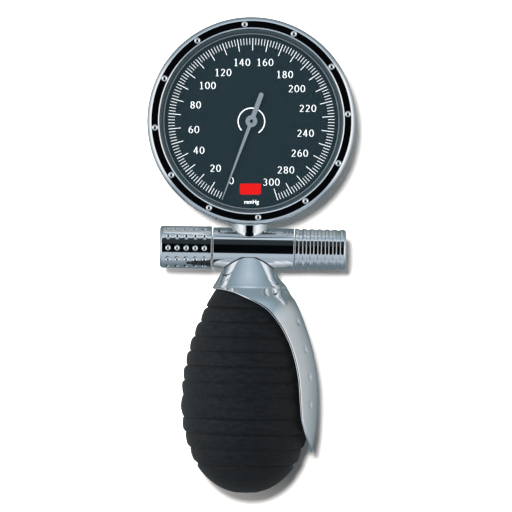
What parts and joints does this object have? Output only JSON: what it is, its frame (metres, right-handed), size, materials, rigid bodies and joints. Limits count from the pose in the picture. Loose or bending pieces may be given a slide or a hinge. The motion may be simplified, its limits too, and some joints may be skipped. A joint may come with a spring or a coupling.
{
  "type": "aneroid sphygmomanometer hand unit",
  "caption": "Palm-type blood pressure gauge with a dial, cross tube, release valve, hose socket and a ribbed squeeze bulb in a chrome spoon.",
  "frame": {"origin": "on the plane the unit lies on, under the middle of its outline", "axes": "+X out of the hose socket, +Y from the bulb to the gauge, +Z out of the dial"},
  "size_m": [0.0718, 0.1642, 0.0456],
  "materials": {
    "chrome": "polished chrome plate",
    "dial": "matte blue-black dial with printed white scale",
    "pointer": "satin blue-grey",
    "brass": "machined brass",
    "steel": "turned steel",
    "bronze": "phosphor bronze",
    "rubber": "matte black latex-free rubber",
    "glass": "clear flat glass"
  },
  "bodies": {
    "root": {"bezel_ring": "chrome", "block_screw_1": "steel", "block_screw_2": "steel", "capsule": "bronze", "capsule_boss": "brass", "dial_plate": "dial", "dial_post_1": "brass", "dial_post_2": "brass", "dust_screen": "steel", "gauge_case": "chrome", "gauge_glass": "glass", "glass_gasket": "rubber", "grip_spoon": "chrome", "hairspring": "bronze", "hairspring_post": "brass", "hose_nipple": "steel", "hose_sleeve": "chrome", "inlet_retainer": "brass", "inlet_valve_body": "steel", "movement_base_plate": "brass", "movement_pillar_1": "brass", "movement_pillar_2": "brass", "movement_pillar_3": "brass", "movement_top_plate": "brass", "neck_collar": "chrome", "outlet_retainer": "brass", "outlet_valve_body": "steel", "pillar_screw_1": "steel", "pillar_screw_2": "steel", "pillar_screw_3": "steel", "pressure_pipe": "brass", "rocker_bracket_1": "brass", "rocker_bracket_2": "brass", "stem_block": "brass", "stem_tube": "brass", "trim_ring": "chrome", "tube_body": "chrome", "valve_seat": "brass"},
    "pointer": {"pointer": "pointer", "pointer_arbor": "steel"},
    "sector": {"sector_gear": "brass", "sector_shaft": "steel"},
    "rocker": {"rocking_shaft": "steel"},
    "stud": {"capsule_stud": "brass"},
    "valve_plug": {"valve_needle": "steel"},
    "valve_knob": {"valve_knob": "chrome", "valve_screw": "steel", "valve_o_ring": "rubber"},
    "bulb": {"bulb": "rubber"},
    "outlet_ball": {"outlet_ball": "steel"},
    "inlet_ball": {"inlet_ball": "steel"}
  },
  "joints": [
    {"name": "stud_lift", "type": "slide", "parent": "root", "child": "stud", "axis": [0, 0, 1], "range_m": [0, 0.00189], "stiffness_N_per_m": 2000, "deforming": ["capsule"]},
    {"name": "rocker_tilt", "type": "hinge", "parent": "root", "child": "rocker", "pos_m": [0.00978, 0.03725, 0.0153], "axis": [0, 1, 0], "range_deg": [0, 30.4]},
    {"name": "sector_rock", "type": "hinge", "parent": "root", "child": "sector", "pos_m": [0.01188, 0.04625, 0], "axis": [0, 0, 1], "range_deg": [0, 32.1]},
    {"name": "pointer_spin", "type": "hinge", "parent": "root", "child": "pointer", "pos_m": [0, 0.04625, 0], "axis": [0, 0, -1], "range_deg": [0, 321]},
    {"name": "valve_feed", "type": "slide", "parent": "root", "child": "valve_plug", "axis": [-1, 0, 0], "range_m": [0, 0.0008]},
    {"name": "valve_turn", "type": "hinge", "parent": "valve_plug", "child": "valve_knob", "pos_m": [0, 0.00245, 0.0228], "axis": [-1, 0, 0], "range_deg": [0, 360]},
    {"name": "bulb_squeeze", "type": "slide", "parent": "root", "child": "bulb", "axis": [1, 0, 0], "range_m": [0, 0.01], "stiffness_N_per_m": 400, "deforming": ["bulb"]},
    {"name": "outlet_ball_lift", "type": "slide", "parent": "root", "child": "outlet_ball", "axis": [0, 1, 0], "range_m": [0, 0.0012]},
    {"name": "inlet_ball_lift", "type": "slide", "parent": "root", "child": "inlet_ball", "axis": [0, 1, 0], "range_m": [0, 0.0012]}
  ],
  "couplings": [
    {"joint": "rocker_tilt", "follows": "stud_lift", "rad_per_m": 281.06},
    {"joint": "sector_rock", "follows": "stud_lift", "rad_per_m": 296.79},
    {"joint": "pointer_spin", "follows": "stud_lift", "rad_per_m": 2967.9},
    {"joint": "valve_turn", "follows": "valve_feed", "rad_per_m": 7854}
  ]
}
